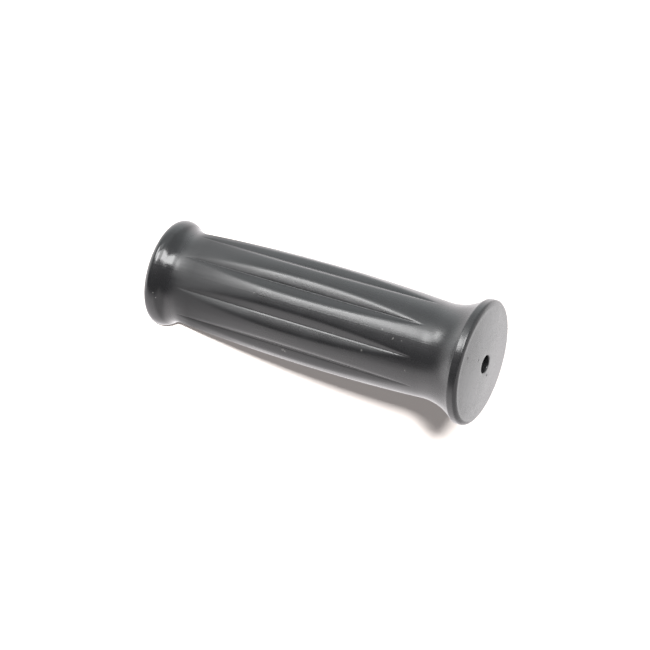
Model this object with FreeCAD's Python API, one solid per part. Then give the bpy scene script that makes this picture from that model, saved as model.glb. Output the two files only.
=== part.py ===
import FreeCAD, Part
import math
import os

# Moulded rubber handle grip: an open flared mouth, a fluted barrel body,
# and a closed end with a round flange and a vent hole, all in one piece.
# Millimetres. The axis is Z, the mouth stands on Z = 0 and the closed end is up.
# The lobe that carries the mould's parting line faces -Y.

# Length, bore and end wall
grip_length = 116.0        # from the mouth to the edge of the end face
bore_radius = 11.0         # presses onto a 22 mm bar
bore_lead_in = 1.0         # chamfer that guides the bar into the mouth
end_wall = 5.0             # between the bore and the edge of the end face
vent_radius = 3.0          # lets the air out while the grip is pushed on

# Collar round the mouth
collar_radius = 18.0
collar_lip_round = 3.0     # from the flat mouth ring to the crest
collar_crest_round = 4.6   # from the crest towards the neck
mouth_neck_round = 6.4     # hollow sweep into the barrel

# Barrel: one long arc, thickest at its crest
barrel_radius = 17.35
barrel_crest_z = 60.5
barrel_arc = 636.0

# Trumpet neck and flange at the closed end
trumpet_round = 19.5
flange_radius = 21.0
flange_thickness = 3.0
rim_bevel = (0.5, 0.9)     # the rim's front edge falls away steeply: inward, and down
face_bevel = (1.5, 0.4)    # then gently towards the end face
end_crown = 1.0            # the end face is slightly domed

# Flutes: straight V grooves, lens-shaped because the barrel curves away from them
flute_count = 9
flute_end_gap = 0.3        # plain barrel left between a flute's tip and the necks
flute_wall_angle = 22.0    # slope of a wall where it leaves the root line, degrees
flute_wall_round = 30.0    # the walls bulge outward

axis_start = FreeCAD.Vector(0, 0, 0)
axis_way = FreeCAD.Vector(0, 0, 1)


def at(centre):
    """Point of the half plane Y = 0, from its radius and height."""
    return FreeCAD.Vector(centre[0], 0, centre[1])


def outer_meeting(centre_a, reach_a, centre_b, reach_b):
    """Of the two places at these distances from both centres, the one farther from the axis."""
    span = (centre_b[0] - centre_a[0], centre_b[1] - centre_a[1])
    apart = math.hypot(*span)
    along = (reach_a ** 2 - reach_b ** 2 + apart ** 2) / (2 * apart)
    aside = math.sqrt(reach_a ** 2 - along ** 2)
    foot = (centre_a[0] + along * span[0] / apart, centre_a[1] + along * span[1] / apart)
    step = (aside * span[1] / apart, -aside * span[0] / apart)
    return max((foot[0] + step[0], foot[1] + step[1]), (foot[0] - step[0], foot[1] - step[1]))


def contact(centre, radius, other):
    """Point of the circle round centre on the line to the other centre."""
    reach = radius / math.hypot(other[0] - centre[0], other[1] - centre[1])
    return at((centre[0] + reach * (other[0] - centre[0]), centre[1] + reach * (other[1] - centre[1])))


def arc(centre, start, end):
    """The shorter arc round centre from start to end."""
    middle = at(centre)
    bisector = (start - middle) + (end - middle)
    halfway = middle + bisector.normalize() * (start - middle).Length
    return Part.Arc(start, halfway, end).toShape()


def barrel_at(z):
    """Outer radius of the barrel's arc at the height z."""
    return barrel_centre[0] + math.sqrt(barrel_arc ** 2 - (z - barrel_crest_z) ** 2)


# Centres of the profile's arcs, each tangent to its neighbours
barrel_centre = (barrel_radius - barrel_arc, barrel_crest_z)
lip_centre = (collar_radius - collar_lip_round, collar_lip_round)
crest_centre = (collar_radius - collar_crest_round, collar_lip_round)
neck_centre = outer_meeting(
    barrel_centre, barrel_arc + mouth_neck_round,
    crest_centre, collar_crest_round + mouth_neck_round)
flange_back = (flange_radius, grip_length - flange_thickness)
trumpet_centre = outer_meeting(
    barrel_centre, barrel_arc + trumpet_round,
    flange_back, trumpet_round)
face_radius = flange_radius - rim_bevel[0] - face_bevel[0]
crown_round = (face_radius ** 2 / end_crown + end_crown) / 2
crown_centre = (0, grip_length + end_crown - crown_round)

# Ends of the barrel's arc
barrel_start = contact(neck_centre, mouth_neck_round, barrel_centre)
barrel_end = contact(trumpet_centre, trumpet_round, barrel_centre)


def body_of_revolution():
    """Collar, barrel, trumpet and flange, turned about the axis."""
    mouth_ring = at((lip_centre[0], 0))
    crest = at((collar_radius, lip_centre[1]))
    neck_start = contact(crest_centre, collar_crest_round, neck_centre)
    rim_start = at(flange_back)
    rim_end = at((flange_radius, grip_length - rim_bevel[1] - face_bevel[1]))
    bevel_break = at((face_radius + face_bevel[0], grip_length - face_bevel[1]))
    face_edge = at((face_radius, grip_length))
    apex = at((0, grip_length + end_crown))
    outline = Part.Wire([
        Part.makeLine(axis_start, mouth_ring),
        arc(lip_centre, mouth_ring, crest),
        arc(crest_centre, crest, neck_start),
        arc(neck_centre, neck_start, barrel_start),
        arc(barrel_centre, barrel_start, barrel_end),
        arc(trumpet_centre, barrel_end, rim_start),
        Part.makeLine(rim_start, rim_end),
        Part.makeLine(rim_end, bevel_break),
        Part.makeLine(bevel_break, face_edge),
        arc(crown_centre, face_edge, apex),
        Part.makeLine(apex, axis_start),
    ])
    return Part.Face(outline).revolve(axis_start, axis_way, 360)


def flute_wall(root, side):
    """Bulging wall of a flute, from the root line outward, in a level section."""
    slope = math.radians(flute_wall_angle)
    points = []
    for angle in (slope, slope / 2, 0):
        out = flute_wall_round * (math.cos(angle) - math.cos(slope))
        across = flute_wall_round * (math.sin(slope) - math.sin(angle))
        points.append(root + FreeCAD.Vector(out, side * across, 0))
    return Part.Arc(*points).toShape(), points[-1]


def flute_cutter(turn):
    """V groove whose root line is a straight chord of the barrel's arc."""
    tips = [barrel_start.z + flute_end_gap, barrel_end.z - flute_end_gap]
    start, end = [at((barrel_at(z), z)) for z in tips]
    overrun = (end - start).normalize() * (flute_end_gap / 2)
    root = at((barrel_at(tips[0]), tips[0])) - overrun
    left_wall, left_rim = flute_wall(root, -1)
    right_wall, right_rim = flute_wall(root, 1)
    clear = FreeCAD.Vector(flange_radius, 0, 0)
    section = Part.Wire([
        left_wall,
        Part.makeLine(left_rim, left_rim + clear),
        Part.makeLine(left_rim + clear, right_rim + clear),
        Part.makeLine(right_rim + clear, right_rim),
        right_wall,
    ])
    length = end - start + overrun + overrun
    cutter = Part.Face(section).extrude(length)
    cutter.rotate(axis_start, axis_way, turn)
    return cutter


def flutes():
    """One cutter for each flute; a lobe, not a flute, faces -Y."""
    pitch = 360 / flute_count
    return [flute_cutter(-90 + pitch * (index + 0.5)) for index in range(flute_count)]


def hollows():
    """Blind bore, the lead-in at its mouth, and the vent through the end wall."""
    bore = Part.makeCylinder(bore_radius, grip_length - end_wall)
    lead_in = Part.makeCone(bore_radius + bore_lead_in, bore_radius, bore_lead_in)
    vent = Part.makeCylinder(vent_radius, grip_length + 2 * end_crown)
    return [bore, lead_in, vent]


os.makedirs("parts", exist_ok=True)
grip = body_of_revolution().cut(flutes() + hollows())
grip.Solids[0].exportStep("parts/grip.step")
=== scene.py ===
import bpy
import math
from mathutils import Matrix, Vector


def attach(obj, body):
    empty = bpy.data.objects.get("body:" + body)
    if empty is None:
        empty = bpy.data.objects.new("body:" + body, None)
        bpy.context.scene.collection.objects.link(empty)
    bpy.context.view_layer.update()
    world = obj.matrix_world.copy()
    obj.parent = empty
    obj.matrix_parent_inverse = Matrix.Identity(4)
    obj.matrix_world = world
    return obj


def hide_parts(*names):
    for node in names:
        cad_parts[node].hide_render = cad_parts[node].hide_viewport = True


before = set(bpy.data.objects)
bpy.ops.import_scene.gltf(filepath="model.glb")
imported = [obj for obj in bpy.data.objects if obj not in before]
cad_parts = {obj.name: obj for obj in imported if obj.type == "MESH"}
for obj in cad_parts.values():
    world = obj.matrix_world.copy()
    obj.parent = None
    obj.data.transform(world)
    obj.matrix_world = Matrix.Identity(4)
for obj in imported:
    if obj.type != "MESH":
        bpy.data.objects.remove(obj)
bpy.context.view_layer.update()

# Grip
# One piece of black rubber, moulded over a core pin: a collar at the open mouth, a barrel
# with nine V flutes, and a trumpet that opens into a flange with a vent hole. It is held
# by its own press fit on a 22 mm bar. Its sizes are in millimetres.
MM = 0.001
GRIP_LENGTH = 116.0
BORE_RADIUS = 11.0
BORE_DEPTH = 111.0
LEAD_IN = 1.0
VENT_RADIUS = 3.0
VENT_EDGE_ROUND = 0.35
COLLAR_RADIUS = 18.0
COLLAR_LIP_ROUND = 3.0
COLLAR_CREST_ROUND = 4.6
MOUTH_NECK_ROUND = 6.4
BARREL_RADIUS = 17.35
BARREL_CREST_Z = 60.5
BARREL_ARC = 636.0
TRUMPET_ROUND = 19.5
FLANGE_RADIUS = 21.0
FLANGE_BACK_Z = 113.4
FLANGE_BACK_ROUND = 1.0
FACE_RADIUS = 19.0
RIM_ROUND_HEIGHT = 1.3
END_CROWN = 1.0
TOP_Z = GRIP_LENGTH + END_CROWN

# How far apart the outline's points lie on each arc, and where they lie on each straight
# run, as shares of it. Points close to an edge keep it crisp.
COLLAR_STEP = 0.3
NECK_STEP = 0.35
BARREL_STEP = 0.8
TRUMPET_STEP = 0.4
FLANGE_BACK_STEP = 0.15
RIM_ROUND_POINTS = 20
FACE_STEP = 1.2
VENT_EDGE_STEP = 0.12
RING_SHARES = (0, 0.04, 0.35, 0.65, 0.96)
RIM_SHARES = (0, 0.33, 0.67)
BORE_SHARES = (0, 0.002, 0.2, 0.4, 0.6, 0.8, 0.997)
LEAD_IN_SHARES = (0, 0.1, 0.5, 0.9, 1)


def outer_meeting(centre_a, reach_a, centre_b, reach_b):
    """Of the two places at these distances from both centres, the one farther from the axis."""
    span = (centre_b[0] - centre_a[0], centre_b[1] - centre_a[1])
    apart = math.hypot(*span)
    along = (reach_a ** 2 - reach_b ** 2 + apart ** 2) / (2 * apart)
    aside = math.sqrt(reach_a ** 2 - along ** 2)
    foot = (centre_a[0] + along * span[0] / apart, centre_a[1] + along * span[1] / apart)
    step = (aside * span[1] / apart, -aside * span[0] / apart)
    return max((foot[0] + step[0], foot[1] + step[1]), (foot[0] - step[0], foot[1] - step[1]))


def heading(centre, other):
    """Direction from one centre to another, in radians up from the radius."""
    return math.atan2(other[1] - centre[1], other[0] - centre[0])


def outline_arc(centre, radius, start, end, spacing):
    """Points of an arc between two directions, the last one left out."""
    count = max(2, round(abs(end - start) * radius / spacing))
    angles = [start + (end - start) * step / count for step in range(count)]
    return [(centre[0] + radius * math.cos(a), centre[1] + radius * math.sin(a)) for a in angles]


def outline_run(start, end, shares):
    """Points of a straight run at these shares of it."""
    span = (end[0] - start[0], end[1] - start[1])
    return [(start[0] + span[0] * share, start[1] + span[1] * share) for share in shares]


barrel_centre = (BARREL_RADIUS - BARREL_ARC, BARREL_CREST_Z)
lip_centre = (COLLAR_RADIUS - COLLAR_LIP_ROUND, COLLAR_LIP_ROUND)
crest_centre = (COLLAR_RADIUS - COLLAR_CREST_ROUND, COLLAR_LIP_ROUND)
neck_centre = outer_meeting(
    barrel_centre, BARREL_ARC + MOUTH_NECK_ROUND,
    crest_centre, COLLAR_CREST_ROUND + MOUTH_NECK_ROUND)
back_centre = (FLANGE_RADIUS - FLANGE_BACK_ROUND, FLANGE_BACK_Z)
trumpet_centre = outer_meeting(
    barrel_centre, BARREL_ARC + TRUMPET_ROUND,
    back_centre, FLANGE_BACK_ROUND + TRUMPET_ROUND)
crown_round = (FACE_RADIUS ** 2 / END_CROWN + END_CROWN) / 2
crown_centre = (0, TOP_Z - crown_round)
vent_rim_radius = VENT_RADIUS + VENT_EDGE_ROUND
vent_rim_z = crown_centre[1] + math.sqrt(crown_round ** 2 - vent_rim_radius ** 2)
vent_edge = (vent_rim_radius, vent_rim_z - VENT_EDGE_ROUND)

neck_turn = heading(crest_centre, neck_centre)
barrel_low = heading(barrel_centre, neck_centre)
barrel_high = heading(barrel_centre, trumpet_centre)
trumpet_end = heading(trumpet_centre, back_centre)
crown_start = heading(crown_centre, (FACE_RADIUS, GRIP_LENGTH))
crown_end = math.acos(vent_edge[0] / crown_round)
rim_turns = [math.pi / 2 * step / RIM_ROUND_POINTS for step in range(RIM_ROUND_POINTS)]

# Half the section of the plain turned grip, as (radius, height): round the outside from
# the mouth to the vent, then down the vent and the bore to the mouth again.
outline = (
    outline_run((BORE_RADIUS + LEAD_IN, 0), (lip_centre[0], 0), RING_SHARES)
    + outline_arc(lip_centre, COLLAR_LIP_ROUND, -math.pi / 2, 0, COLLAR_STEP)
    + outline_arc(crest_centre, COLLAR_CREST_ROUND, 0, neck_turn, COLLAR_STEP)
    + outline_arc(neck_centre, MOUTH_NECK_ROUND, neck_turn + math.pi, barrel_low + math.pi, NECK_STEP)
    + outline_arc(barrel_centre, BARREL_ARC, barrel_low, barrel_high, BARREL_STEP)
    + outline_arc(trumpet_centre, TRUMPET_ROUND, barrel_high + math.pi, trumpet_end, TRUMPET_STEP)
    + outline_arc(back_centre, FLANGE_BACK_ROUND, trumpet_end - math.pi, 0, FLANGE_BACK_STEP)
    + outline_run(
        (FLANGE_RADIUS, FLANGE_BACK_Z), (FLANGE_RADIUS, GRIP_LENGTH - RIM_ROUND_HEIGHT), RIM_SHARES)
    + [(FACE_RADIUS + (FLANGE_RADIUS - FACE_RADIUS) * math.cos(a),
        GRIP_LENGTH - RIM_ROUND_HEIGHT * (1 - math.sin(a))) for a in rim_turns]
    + outline_arc(crown_centre, crown_round, crown_start, crown_end, FACE_STEP)
    + outline_arc(vent_edge, VENT_EDGE_ROUND, math.pi / 2, math.pi, VENT_EDGE_STEP)
    + outline_run((VENT_RADIUS, vent_edge[1]), (VENT_RADIUS, BORE_DEPTH), RING_SHARES)
    + outline_run((VENT_RADIUS, BORE_DEPTH), (BORE_RADIUS, BORE_DEPTH), RING_SHARES)
    + outline_run((BORE_RADIUS, BORE_DEPTH), (BORE_RADIUS, LEAD_IN), BORE_SHARES)
    + outline_run((BORE_RADIUS, LEAD_IN), (BORE_RADIUS + LEAD_IN, 0), LEAD_IN_SHARES)
)

# Each flute is cut along a straight chord of the barrel's arc, so that it ends in two
# points. Its rims are soft, a fine rounded groove runs along its root, and the mould's
# parting line leaves a hair of flash on the front lobe.
FLUTE_COUNT = 9
FLUTE_TIP_GAP = 0.3
FLUTE_WALL_ANGLE = 22.0
FLUTE_WALL_ROUND = 30.0


def barrel_at(z):
    """Outer radius of the barrel's arc at the height z."""
    return barrel_centre[0] + math.sqrt(BARREL_ARC ** 2 - (z - BARREL_CREST_Z) ** 2)


tip_low = barrel_centre[1] + BARREL_ARC * math.sin(barrel_low) + FLUTE_TIP_GAP
tip_high = barrel_centre[1] + BARREL_ARC * math.sin(barrel_high) - FLUTE_TIP_GAP
flute_inputs = {
    "Half sectors": 2 * FLUTE_COUNT,
    "Columns per half": 20,
    "Barrel centre radius": barrel_centre[0],
    "Barrel centre height": BARREL_CREST_Z,
    "Barrel arc": BARREL_ARC,
    "Low tip height": tip_low,
    "Low tip radius": barrel_at(tip_low),
    "High tip height": tip_high,
    "High tip radius": barrel_at(tip_high),
    "Wall sine": math.sin(math.radians(FLUTE_WALL_ANGLE)),
    "Wall cosine": math.cos(math.radians(FLUTE_WALL_ANGLE)),
    "Wall round": FLUTE_WALL_ROUND,
    "Rim softness": 0.5,
    "Root round": 0.12,
    "Root line depth": 0.08,
    "Root line width": 0.45,
    "Root line fade": 0.4,
    "Flash height": 0.008,
    "Flash width": 0.16,
    "Bore wall limit": 14.0,
}
WHOLE_INPUTS = ("Half sectors", "Columns per half")


def add(tree, kind, inputs=None, **settings):
    """Adds a node; each input is set to a value or linked to another node's output."""
    node = tree.nodes.new(kind)
    for name, value in settings.items():
        setattr(node, name, value)
    for key, value in (inputs or {}).items():
        if isinstance(value, bpy.types.NodeSocket):
            tree.links.new(value, node.inputs[key])
        else:
            node.inputs[key].default_value = value
    return node


def hex_colour(code):
    """Linear RGBA of an sRGB hex colour."""
    parts = [int(code[i:i + 2], 16) / 255 for i in (0, 2, 4)]
    linear = [c / 12.92 if c <= 0.04045 else ((c + 0.055) / 1.055) ** 2.4 for c in parts]
    return tuple(linear) + (1.0,)


# Black rubber, moulded against sandblasted steel and drawn off lengthwise: a near-black
# body under a broad soft sheen, faintly cloudy and streaked along the barrel. The mouth
# reflects more sharply, as if polished by handling. The mould's real grain of 0.1 mm is
# too fine for the picture, so it is drawn at 0.45 mm.
GRAINS_PER_M = 2200.0      # 0.45 mm each
RIPPLES_PER_M = 260.0      # 3.8 mm
CLOUDS_PER_M = 90.0        # 11 mm
STREAKS_PER_M = 900.0      # 1.1 mm across, and 18 mm along
STREAK_STRETCH = (1.0, 1.0, 0.06)
MIX_FIRST, MIX_SECOND, MIX_RESULT = 6, 7, 2    # a Mix node's colour sockets

rubber = bpy.data.materials.new("moulded_black_rubber")
rubber.use_nodes = True
shade = rubber.node_tree
shade.nodes.clear()
position = add(shade, "ShaderNodeTexCoord").outputs["Object"]
height = add(shade, "ShaderNodeSeparateXYZ", {0: position}).outputs["Z"]
drawn_out = add(shade, "ShaderNodeVectorMath", {
    0: position, 1: STREAK_STRETCH}, operation="MULTIPLY").outputs[0]
grain = add(shade, "ShaderNodeTexNoise", {"Vector": position, "Scale": GRAINS_PER_M, "Detail": 2.0})
ripple = add(shade, "ShaderNodeTexNoise", {"Vector": position, "Scale": RIPPLES_PER_M, "Detail": 3.0})
streak = add(shade, "ShaderNodeTexNoise", {"Vector": drawn_out, "Scale": STREAKS_PER_M, "Detail": 2.0})
cloud = add(shade, "ShaderNodeTexNoise", {
    "Vector": position, "Scale": CLOUDS_PER_M, "Detail": 4.0, "Roughness": 0.6})

# Dust and nicks that the photograph shows: where each lies in millimetres, and its reach.
# The grain makes their edges ragged.
DUST = [((-0.5, -16.8, 85.9), 0.4), ((1.4, -16.6, 90.2), 0.5), ((1.4, -16.4, 93.3), 0.35),
        ((7.8, -15.0, 80.6), 0.5), ((10.0, -13.0, 96.0), 0.4), ((14.7, -7.2, 51.3), 0.65),
        ((14.9, -7.0, 52.1), 0.55), ((13.9, -7.8, 49.7), 0.4), ((16.1, -5.4, 40.3), 0.4),
        ((9.3, -15.2, 4.4), 0.35), ((10.5, -13.9, 5.3), 0.35), ((0.0, -17.0, 39.6), 0.3),
        ((5.1, -15.4, 69.5), 0.3)]
NICKS = [((0.7, -16.3, 116.3), 0.5), ((-0.1, -7.3, 116.8), 0.5), ((3.0, 4.7, 116.9), 0.65)]
RAGGED = 0.8 * MM
SOLID_SHARE = 0.25         # of a spot's reach, where it is at its fullest
GONE_SHARE = 0.85          # of its reach, where it has faded out
ragged = add(shade, "ShaderNodeVectorMath", {
    0: grain.outputs["Color"], 1: (RAGGED,) * 3, 2: position}, operation="MULTIPLY_ADD").outputs[0]
centred = add(shade, "ShaderNodeVectorMath", {
    0: ragged, 1: (RAGGED / 2,) * 3}, operation="SUBTRACT").outputs[0]
marks = []
for spots in (DUST, NICKS):
    covered = 0.0
    for spot, reach in spots:
        apart = add(shade, "ShaderNodeVectorMath", {
            0: centred, 1: [c * MM for c in spot]}, operation="DISTANCE").outputs["Value"]
        near = add(shade, "ShaderNodeMapRange", {
            "Value": apart, "From Min": SOLID_SHARE * reach * MM, "From Max": GONE_SHARE * reach * MM,
            "To Min": 1.0, "To Max": 0.0}).outputs["Result"]
        covered = add(shade, "ShaderNodeMath", {0: covered, 1: near}, operation="MAXIMUM").outputs[0]
    marks.append(covered)
dust, nicks = marks

body_tone = add(shade, "ShaderNodeMix", {
    "Factor": cloud.outputs["Fac"], MIX_FIRST: hex_colour("1A1A1B"), MIX_SECOND: hex_colour("222223")},
    data_type="RGBA").outputs[MIX_RESULT]
dust_cover = add(shade, "ShaderNodeMath", {0: dust, 1: 0.3}, operation="MULTIPLY").outputs[0]
dusty_tone = add(shade, "ShaderNodeMix", {
    "Factor": dust_cover, MIX_FIRST: body_tone, MIX_SECOND: hex_colour("A8A6A2")},
    data_type="RGBA").outputs[MIX_RESULT]

# Roughness by height in millimetres: lowest at the mouth, highest just past the neck,
# steady on the barrel. The clouds and streaks vary it, and a nick is duller.
ROUGHNESS = [(0.0, 0.16), (7.8, 0.17), (12.0, 0.52), (16.0, 0.66), (26.0, 0.50), (42.0, 0.28),
             (117.0, 0.26)]
CLOUD_CHANGE = 0.03
STREAK_CHANGE = 0.025
up_share = add(shade, "ShaderNodeMath", {0: height, 1: TOP_Z * MM}, operation="DIVIDE").outputs[0]
dullness = add(shade, "ShaderNodeValToRGB", {"Fac": up_share})
while len(dullness.color_ramp.elements) < len(ROUGHNESS):
    dullness.color_ramp.elements.new(0.5)
for stop, (up, level) in zip(dullness.color_ramp.elements, ROUGHNESS):
    stop.position = up / TOP_Z
    stop.color = (level,) * 3 + (1.0,)
roughness = dullness.outputs["Color"]
for noise, change in ((cloud, CLOUD_CHANGE), (streak, STREAK_CHANGE)):
    varied = add(shade, "ShaderNodeMapRange", {
        "Value": noise.outputs["Fac"], "From Min": 0.3, "From Max": 0.7,
        "To Min": -change, "To Max": change}).outputs["Result"]
    roughness = add(shade, "ShaderNodeMath", {0: roughness, 1: varied}, operation="ADD").outputs[0]
nick_dullness = add(shade, "ShaderNodeMath", {0: nicks, 1: 0.25}, operation="MULTIPLY").outputs[0]
roughness = add(shade, "ShaderNodeMath", {0: roughness, 1: nick_dullness}, operation="ADD").outputs[0]
grain_bump = add(shade, "ShaderNodeBump", {
    "Height": grain.outputs["Fac"], "Strength": 0.16, "Distance": 0.06 * MM})
ripple_bump = add(shade, "ShaderNodeBump", {
    "Height": ripple.outputs["Fac"], "Strength": 0.12, "Distance": 0.2 * MM,
    "Normal": grain_bump.outputs["Normal"]})
streak_bump = add(shade, "ShaderNodeBump", {
    "Height": streak.outputs["Fac"], "Strength": 0.2, "Distance": 0.06 * MM,
    "Normal": ripple_bump.outputs["Normal"]})
nick_bump = add(shade, "ShaderNodeBump", {
    "Height": nicks, "Strength": 0.4, "Distance": 0.3 * MM,
    "Normal": streak_bump.outputs["Normal"]}, invert=True)
skin = add(shade, "ShaderNodeBsdfPrincipled", {
    "Base Color": dusty_tone, "Roughness": roughness, "IOR": 1.5, "Normal": nick_bump.outputs["Normal"]})
add(shade, "ShaderNodeOutputMaterial", {"Surface": skin.outputs["BSDF"]})

# The node group lays a sheet of columns by outline points, and wraps it into the turned
# and fluted skin.
turn = bpy.data.node_groups.new("turned_and_fluted", "GeometryNodeTree")
turn.interface.new_socket("Geometry", in_out="INPUT", socket_type="NodeSocketGeometry")
turn.interface.new_socket("Geometry", in_out="OUTPUT", socket_type="NodeSocketGeometry")
for name in flute_inputs:
    kind = "NodeSocketInt" if name in WHOLE_INPUTS else "NodeSocketFloat"
    turn.interface.new_socket(name, in_out="INPUT", socket_type=kind)
source = add(turn, "NodeGroupInput")
points = source.outputs["Geometry"]
known = {name: source.outputs[name] for name in flute_inputs}
known["index"] = add(turn, "GeometryNodeInputIndex").outputs["Index"]
known["rows"] = add(turn, "GeometryNodeAttributeDomainSize", {"Geometry": points}).outputs["Point Count"]

# Which column and which point of the outline a vertex is. Columns crowd near every
# root line and every lobe's middle, where the flutes and the flash are sharp.
CROWDING = 0.4
COLUMN_SUMS = [
    ("all columns", "MULTIPLY", "Half sectors", "Columns per half"),
    ("grid columns", "ADD", "all columns", 1.0),
    ("column share", "DIVIDE", "index", "rows"),
    ("column", "FLOOR", "column share"),
    ("row", "MODULO", "index", "rows"),
    ("half turns", "DIVIDE", "column", "Columns per half"),
    ("half", "FLOOR", "half turns"),
    ("share", "SUBTRACT", "half turns", "half"),
    ("swing", "MULTIPLY", "share", math.pi),
    ("cosine", "COSINE", "swing"),
    ("eased", "MULTIPLY_ADD", "cosine", -CROWDING, CROWDING),
    ("placed", "MULTIPLY_ADD", "share", 1 - 2 * CROWDING, "eased"),
    ("half place", "ADD", "half", "placed"),
    ("half angle", "DIVIDE", 2 * math.pi, "Half sectors"),
    ("angle", "MULTIPLY", "half place", "half angle"),
]
for name, operation, *terms in COLUMN_SUMS:
    values = {n: known[term] if isinstance(term, str) else term for n, term in enumerate(terms)}
    known[name] = add(turn, "ShaderNodeMath", values, operation=operation).outputs[0]
sheet = add(turn, "GeometryNodeMeshGrid", {
    "Vertices X": known["grid columns"], "Vertices Y": known["rows"]})
traced = add(turn, "GeometryNodeSampleIndex", {
    "Geometry": points, "Value": add(turn, "GeometryNodeInputPosition").outputs[0],
    "Index": known["row"]}, data_type="FLOAT_VECTOR", domain="POINT")
profile = add(turn, "ShaderNodeSeparateXYZ", {0: traced.outputs["Value"]})
known["radius m"] = profile.outputs["X"]
known["height m"] = profile.outputs["Z"]

# How far a vertex is cut in by a flute and its root line, and raised by the flash, in
# millimetres. The bore's wall is left alone.
CARVING_SUMS = [
    ("radius", "DIVIDE", "radius m", MM),
    ("height", "DIVIDE", "height m", MM),
    ("past lobe", "SUBTRACT", "angle", "half angle"),
    ("off root", "PINGPONG", "past lobe", "half angle"),
    ("sine", "SINE", "off root"),
    ("level", "COSINE", "off root"),
    ("across", "MULTIPLY", "radius", "sine"),
    ("across squared", "MULTIPLY", "across", "across"),
    ("round squared", "MULTIPLY", "Root round", "Root round"),
    ("rounded squared", "ADD", "across squared", "round squared"),
    ("across rounded", "SQRT", "rounded squared"),
    ("across share", "DIVIDE", "across rounded", "Wall round"),
    ("bulge sine", "SUBTRACT", "Wall sine", "across share"),
    ("bulge angle", "ARCSINE", "bulge sine"),
    ("bulge cosine", "COSINE", "bulge angle"),
    ("bulge", "SUBTRACT", "bulge cosine", "Wall cosine"),
    ("wall out", "MULTIPLY", "bulge", "Wall round"),
    ("past tip", "SUBTRACT", "height", "Low tip height"),
    ("tip span", "SUBTRACT", "High tip height", "Low tip height"),
    ("tip rise", "SUBTRACT", "High tip radius", "Low tip radius"),
    ("span share", "DIVIDE", "past tip", "tip span"),
    ("root radius", "MULTIPLY_ADD", "span share", "tip rise", "Low tip radius"),
    ("wall plane", "ADD", "root radius", "wall out"),
    ("wall radius", "DIVIDE", "wall plane", "level"),
    ("over crest", "SUBTRACT", "height", "Barrel centre height"),
    ("over squared", "MULTIPLY", "over crest", "over crest"),
    ("arc squared", "MULTIPLY", "Barrel arc", "Barrel arc"),
    ("arc left", "SUBTRACT", "arc squared", "over squared"),
    ("arc reach", "SQRT", "arc left"),
    ("arc radius", "ADD", "arc reach", "Barrel centre radius"),
    ("root depth", "SUBTRACT", "arc radius", "root radius"),
    ("root depth up", "MAXIMUM", "root depth", 0.0),
    ("softness", "MINIMUM", "root depth up", "Rim softness"),
    ("wall depth", "SUBTRACT", "arc radius", "wall radius"),
    ("cut", "SMOOTH_MAX", "wall depth", 0.0, "softness"),
    ("line share", "DIVIDE", "across rounded", "Root line width"),
    ("line rest", "SUBTRACT", 1.0, "line share"),
    ("line rest up", "MAXIMUM", "line rest", 0.0),
    ("line fade", "DIVIDE", "root depth up", "Root line fade"),
    ("line fade up", "MINIMUM", "line fade", 1.0),
    ("line full", "MULTIPLY", "line rest up", "Root line depth"),
    ("line", "MULTIPLY", "line full", "line fade up"),
    ("cut and line", "ADD", "cut", "line"),
    ("outside", "GREATER_THAN", "radius", "Bore wall limit"),
    ("cut outside", "MULTIPLY", "cut and line", "outside"),
    ("carved", "SUBTRACT", "radius", "cut outside"),
    ("seam angle", "PINGPONG", "angle", math.pi),
    ("seam across", "MULTIPLY", "seam angle", "radius"),
    ("seam share", "DIVIDE", "seam across", "Flash width"),
    ("seam rest", "SUBTRACT", 1.0, "seam share"),
    ("seam rest up", "MAXIMUM", "seam rest", 0.0),
    ("flash", "MULTIPLY", "seam rest up", "Flash height"),
    ("flash outside", "MULTIPLY", "flash", "outside"),
    ("final", "ADD", "carved", "flash outside"),
    ("final m", "MULTIPLY", "final", MM),
    ("turn sine", "SINE", "angle"),
    ("turn cosine", "COSINE", "angle"),
    ("x", "MULTIPLY", "final m", "turn sine"),
    ("minus y", "MULTIPLY", "final m", "turn cosine"),
    ("y", "MULTIPLY", "minus y", -1.0),
]
for name, operation, *terms in CARVING_SUMS:
    values = {n: known[term] if isinstance(term, str) else term for n, term in enumerate(terms)}
    known[name] = add(turn, "ShaderNodeMath", values, operation=operation).outputs[0]
target = add(turn, "ShaderNodeCombineXYZ", {"X": known["x"], "Y": known["y"], "Z": known["height m"]})
shaped = add(turn, "GeometryNodeSetPosition", {
    "Geometry": sheet.outputs["Mesh"], "Position": target.outputs["Vector"]})
closed = add(turn, "GeometryNodeMergeByDistance", {
    "Geometry": shaped.outputs["Geometry"], "Distance": 0.002 * MM})
smooth = add(turn, "GeometryNodeSetShadeSmooth", {"Geometry": closed.outputs["Geometry"]})
real = add(turn, "GeometryNodeRealizeInstances", {"Geometry": smooth.outputs["Geometry"]})
dressed = add(turn, "GeometryNodeSetMaterial", {"Geometry": real.outputs["Geometry"], "Material": rubber})
add(turn, "NodeGroupOutput", {"Geometry": dressed.outputs["Geometry"]})

outline_mesh = bpy.data.meshes.new("grip_outline")
outline_mesh.from_pydata([(r * MM, 0, z * MM) for r, z in outline], [], [])
grip = bpy.data.objects.new("grip_surface", outline_mesh)
bpy.context.scene.collection.objects.link(grip)
modifier = grip.modifiers.new("Turn", "NODES")
modifier.node_group = turn
for item in turn.interface.items_tree:
    if item.in_out == "INPUT" and item.name in flute_inputs:
        modifier[item.identifier] = flute_inputs[item.name]
evaluated = grip.evaluated_get(bpy.context.evaluated_depsgraph_get())
grip_mesh = bpy.data.meshes.new_from_object(evaluated)
grip.modifiers.remove(modifier)
grip.data = grip_mesh
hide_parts("grip")
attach(grip, "root")

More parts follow.
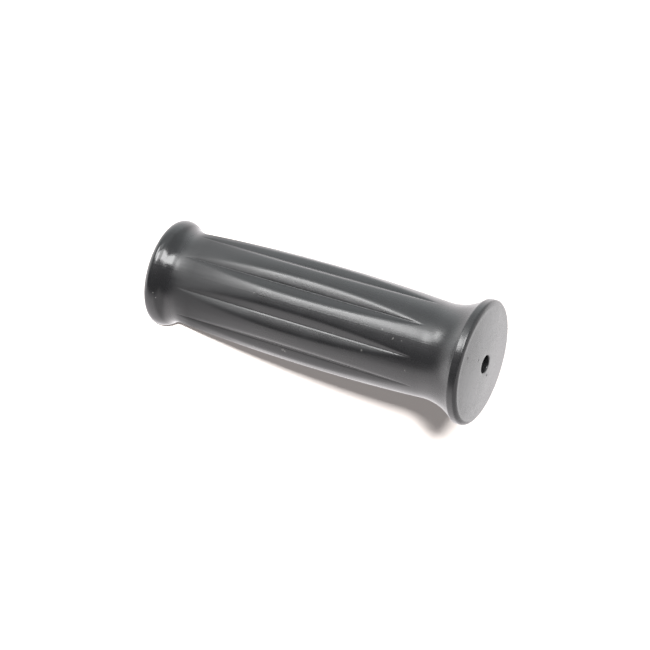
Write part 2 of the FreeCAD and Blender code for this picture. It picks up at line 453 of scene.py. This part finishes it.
# Floor
# A plain sheet of pale paper that the grip stands on. Only the camera sees it, so the grip
# is lit as if it hung free in the studio: the photograph's light comes from below too. Its
# tone is that of the photograph's shadow, and its own lamp lifts the rest of it to white.
FLOOR_REACH = 9.0
floor_mesh = bpy.data.meshes.new("floor")
floor_mesh.from_pydata([
    (-FLOOR_REACH, -FLOOR_REACH, 0), (FLOOR_REACH, -FLOOR_REACH, 0),
    (FLOOR_REACH, FLOOR_REACH, 0), (-FLOOR_REACH, FLOOR_REACH, 0)], [], [(0, 1, 2, 3)])
floor = bpy.data.objects.new("floor", floor_mesh)
bpy.context.scene.collection.objects.link(floor)
paper = bpy.data.materials.new("pale_paper")
paper.use_nodes = True
paper_skin = paper.node_tree.nodes["Principled BSDF"]
paper_skin.inputs["Base Color"].default_value = hex_colour("96918E")
paper_skin.inputs["Roughness"].default_value = 0.9
paper_skin.inputs["Specular IOR Level"].default_value = 0.0
floor_mesh.materials.append(paper)
floor.visible_diffuse = False
floor.visible_glossy = False
floor.visible_shadow = False

# Camera and light
# The camera stands where the photograph was taken from, worked out from the grip's outline.
# The lights stand round the grip, some for the rubber alone and one for the paper alone.
CAMERA_PLACE = Vector((60.951, -1040.910, 471.123)) * MM
CAMERA_RIGHT = Vector((-0.30391494, 0.33516239, 0.891797))
CAMERA_UP = Vector((-0.9512714, -0.15798662, -0.26480737))
lens = bpy.data.cameras.new("camera")
lens.lens = 189.343
lens.sensor_width = 36.0
camera = bpy.data.objects.new("camera", lens)
camera_back = CAMERA_RIGHT.cross(CAMERA_UP).normalized()
camera_turn = Matrix((CAMERA_RIGHT.normalized(), CAMERA_UP.normalized(), camera_back)).transposed()
camera.matrix_world = Matrix.Translation(CAMERA_PLACE) @ camera_turn.to_4x4()
bpy.context.scene.collection.objects.link(camera)
bpy.context.scene.camera = camera

lit_grip = bpy.data.collections.new("lit_grip")
lit_grip.objects.link(grip)
lit_paper = bpy.data.collections.new("lit_paper")
lit_paper.objects.link(floor)


def soft_box(name, lit, round_deg, away, low, high, width, radiance, lean_deg=0.0):
    """A softbox beside the grip: what it lights, its direction round the axis from the
    parting line, its distance, the heights that it spans, its width, and its brightness,
    where white paper is 1."""
    turn_to = math.radians(round_deg)
    out = Vector((math.sin(turn_to), -math.cos(turn_to), 0))
    side = Vector((math.cos(turn_to), math.sin(turn_to), 0))
    lean = math.radians(lean_deg)
    back = out * math.cos(lean) + Vector((0, 0, 1)) * math.sin(lean)
    lamp = bpy.data.lights.new(name, "AREA")
    lamp.shape = "RECTANGLE"
    lamp.size = width
    lamp.size_y = high - low
    lamp.energy = radiance * math.pi * lamp.size * lamp.size_y
    box = bpy.data.objects.new(name, lamp)
    box_turn = Matrix((side, back.cross(side), back)).transposed()
    middle = out * away + Vector((0, 0, (low + high) / 2))
    box.matrix_world = Matrix.Translation(middle) @ box_turn.to_4x4()
    box.visible_camera = False
    box.light_linking.receiver_collection = lit
    bpy.context.scene.collection.objects.link(box)


# A row of panes to the grip's upper left, with the bars between them dimmer. They show in
# the rubber as the long highlight and as the patches on the collar and the trumpet.
soft_box("trumpet_pane", lit_grip, -31.5, 1.5, -1.57, -0.98, 0.66, 14.0)
soft_box("lower_bar", lit_grip, -20.0, 1.5, -0.98, -0.70, 0.55, 6.5)
soft_box("main_pane", lit_grip, -19.5, 1.5, -0.70, -0.36, 0.55, 17.5)
soft_box("mouth_pane", lit_grip, -21.0, 1.5, -0.36, -0.12, 0.55, 9.0)
soft_box("narrow_bar", lit_grip, -24.5, 1.5, -0.12, 0.33, 0.6, 6.5)
soft_box("upper_pane", lit_grip, -24.5, 1.5, 0.33, 2.6, 0.6, 15.0)
soft_box("spill", lit_grip, -42.0, 1.5, -0.9, -0.3, 0.38, 2.0)
soft_box("behind_pane", lit_grip, -158.0, 1.2, 0.38, 1.15, 1.2, 1.55)
soft_box("paper_light", lit_paper, 0.9, 3.0, 1.175, 1.275, 0.07, 75000.0, lean_deg=20)

# The room round the grip: its brightness by direction round the axis, in degrees from the
# parting line. White paper lies behind and to the right, the front under the camera is
# dark, the ceiling is greyer, and the paper straight below is bright again. The camera
# itself sees plain white.
ROOM = [(-180, 1.9), (-130, 2.2), (-103, 2.0), (-77, 1.2), (-36, 1.2), (0, 0.4), (26, 0.05),
        (54, 0.1), (64, 1.3), (75, 2.2), (105, 2.4), (129, 1.9), (180, 1.9)]
ROOM_PEAK = 2.5
CEILING_SHARE = 0.56
DEEP_SHARE = 0.65
UNDERFOOT = 1.6
COOL_SIDE = (-120, 0)
COOL = (0.95, 1.0, 1.01)
WARM = (1.02, 0.985, 1.0)
world = bpy.data.worlds.new("studio")
world.use_nodes = True
air = world.node_tree
air.nodes.clear()
way = add(air, "ShaderNodeTexCoord").outputs["Generated"]
toward = add(air, "ShaderNodeSeparateXYZ", {0: way}).outputs
front = add(air, "ShaderNodeMath", {0: toward["Y"], 1: -1.0}, operation="MULTIPLY").outputs[0]
around = add(air, "ShaderNodeMath", {0: toward["X"], 1: front}, operation="ARCTAN2").outputs[0]
turn_share = add(air, "ShaderNodeMapRange", {
    "Value": around, "From Min": -math.pi, "From Max": math.pi}).outputs[0]
ramp = add(air, "ShaderNodeValToRGB", {"Fac": turn_share})
stops = ramp.color_ramp.elements
while len(stops) < len(ROOM):
    stops.new(0.5)
for stop, (degrees, level) in zip(stops, ROOM):
    tint = COOL if COOL_SIDE[0] < degrees < COOL_SIDE[1] else WARM
    stop.position = (degrees + 180) / 360
    stop.color = tuple(level / ROOM_PEAK * c for c in tint) + (1.0,)
upper = add(air, "ShaderNodeMapRange", {
    "Value": toward["Z"], "From Min": 0.05, "From Max": 0.35,
    "To Min": ROOM_PEAK, "To Max": ROOM_PEAK * CEILING_SHARE}).outputs[0]
deep = add(air, "ShaderNodeMapRange", {
    "Value": toward["Z"], "From Min": -0.95, "From Max": -0.5,
    "To Min": DEEP_SHARE, "To Max": 1.0}).outputs[0]
strength = add(air, "ShaderNodeMath", {0: upper, 1: deep}, operation="MULTIPLY").outputs[0]
around_room = add(air, "ShaderNodeBackground", {"Color": ramp.outputs["Color"], "Strength": strength})
underfoot = add(air, "ShaderNodeMapRange", {
    "Value": toward["Z"], "From Min": -0.97, "From Max": -0.86,
    "To Min": UNDERFOOT, "To Max": 0.0}).outputs[0]
under_room = add(air, "ShaderNodeBackground", {"Color": hex_colour("FFFFFF"), "Strength": underfoot})
room = add(air, "ShaderNodeAddShader", {0: around_room.outputs[0], 1: under_room.outputs[0]})
seen = add(air, "ShaderNodeBackground", {"Color": hex_colour("FFFFFF"), "Strength": 1.0})
eye = add(air, "ShaderNodeLightPath").outputs["Is Camera Ray"]
both = add(air, "ShaderNodeMixShader", {0: eye, 1: room.outputs[0], 2: seen.outputs[0]})
add(air, "ShaderNodeOutputWorld", {"Surface": both.outputs[0]})
bpy.context.scene.world = world
bpy.context.scene.view_settings.view_transform = "Standard"    # keeps the white paper white
